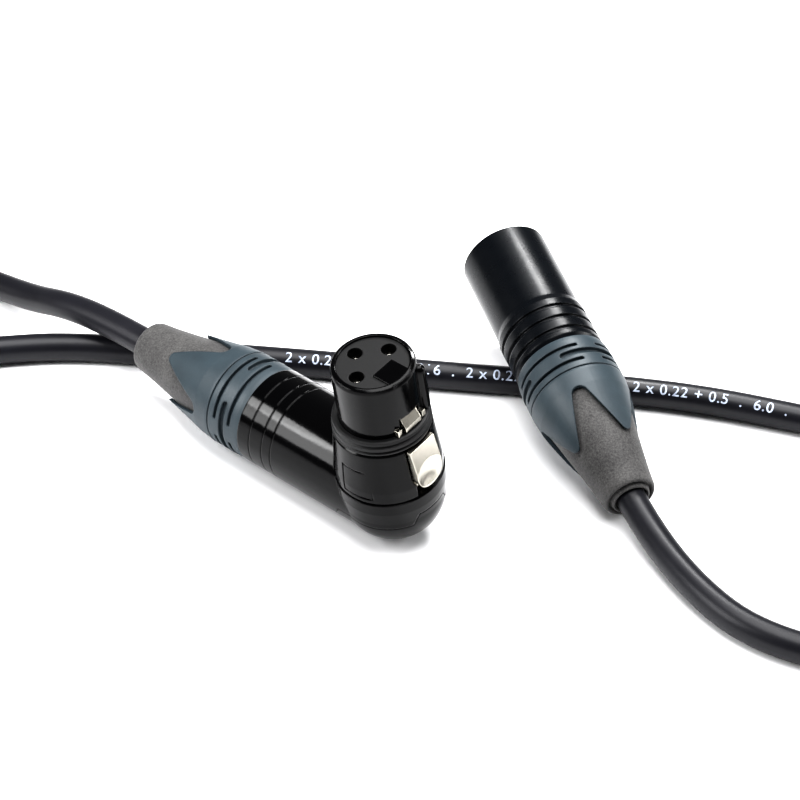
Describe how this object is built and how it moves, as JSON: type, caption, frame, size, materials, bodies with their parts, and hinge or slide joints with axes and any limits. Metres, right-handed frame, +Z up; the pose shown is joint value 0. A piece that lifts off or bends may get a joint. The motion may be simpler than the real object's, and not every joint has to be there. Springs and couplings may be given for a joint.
{
  "type": "coiled microphone cable",
  "caption": "Coiled black balanced microphone lead with a right-angle female and a straight male locking audio connector, each with a slotted strain-relief bushing and boot.",
  "frame": {"origin": "bottom centre of the box round the two connectors, on the surface the lead lies on", "axes": "+Z up, +Y away from the user, the cable leaves to the left and to the right"},
  "size_m": [0.3311, 0.1246, 0.0443],
  "materials": {
    "black_metal": "gloss black coating on die-cast zinc",
    "black_metal_satin": "semi-gloss black coating on die-cast zinc",
    "insulator": "satin moulded black",
    "contact_silver": "silver-plated",
    "bright_nickel": "bright nickel plate",
    "steel": "drawn spring steel",
    "seal_rubber": "satin black rubber",
    "bushing_plastic": "satin slate blue-grey",
    "boot_rubber": "fine-grained warm dark grey",
    "chuck_plastic": "natural white acetal",
    "jacket": "satin near-black PVC",
    "tie_fabric": "woven hook-and-loop strap",
    "wire_red": "coloured core insulation",
    "wire_white": "coloured core insulation",
    "copper": "tinned copper strand"
  },
  "bodies": {
    "lead": {"female_nose_shell": "black_metal_satin", "female_insert": "insulator", "female_contact_1": "contact_silver", "female_contact_2": "contact_silver", "female_contact_3": "contact_silver", "female_ground_spring": "bright_nickel", "female_seal_ring": "seal_rubber", "female_latch_pin": "steel", "female_latch_spring": "steel", "female_head": "black_metal", "female_elbow": "black_metal", "female_elbow_cover": "black_metal", "female_wire_return": "wire_white", "female_wire_signal": "wire_red", "female_wire_drain": "copper", "female_jacket_end": "jacket", "male_shell": "black_metal_satin", "male_insert": "insulator", "male_pin_1": "contact_silver", "male_pin_2": "contact_silver", "male_pin_3": "contact_silver", "male_ground_strip": "bright_nickel", "male_wire_return": "wire_white", "male_wire_signal": "wire_red", "male_wire_drain": "copper", "male_jacket_end": "jacket", "cable_female_run": "jacket", "cable_male_run": "jacket", "cable_coil": "jacket", "coil_tie": "tie_fabric"},
    "latch": {"female_latch": "bright_nickel"},
    "female_chuck_body": {"female_chuck": "chuck_plastic"},
    "female_bushing_body": {"female_bushing": "bushing_plastic", "female_boot": "boot_rubber"},
    "male_chuck_body": {"male_chuck": "chuck_plastic"},
    "male_bushing_body": {"male_bushing": "bushing_plastic", "male_boot": "boot_rubber"}
  },
  "joints": [
    {"name": "latch_press", "type": "hinge", "parent": "lead", "child": "latch", "pos_m": [0.00644, -0.03448, 0.01764], "axis": [-0.6383, -0.7421, -0.2045], "range_deg": [0, 5], "stiffness_Nm_per_rad": 0.05, "springref_deg": -5.73},
    {"name": "female_chuck_slide", "type": "slide", "parent": "lead", "child": "female_chuck_body", "axis": [-0.7581, 0.6521, 0], "range_m": [0, 0.00401]},
    {"name": "female_bushing_turn", "type": "hinge", "parent": "female_chuck_body", "child": "female_bushing_body", "pos_m": [-0.02281, -0.0073, 0.0103], "axis": [-0.7581, 0.6521, 0], "range_deg": [0, 1440]},
    {"name": "male_chuck_slide", "type": "slide", "parent": "lead", "child": "male_chuck_body", "axis": [0.3562, -0.909, -0.2164], "range_m": [0, 0.00401]},
    {"name": "male_bushing_turn", "type": "hinge", "parent": "male_chuck_body", "child": "male_bushing_body", "pos_m": [0.03523, 0.00751, 0.01348], "axis": [0.3562, -0.909, -0.2164], "range_deg": [0, 1440]}
  ],
  "couplings": [
    {"joint": "female_chuck_slide", "follows": "female_bushing_turn", "m_per_rad": 0.00015915},
    {"joint": "male_chuck_slide", "follows": "male_bushing_turn", "m_per_rad": 0.00015915}
  ]
}
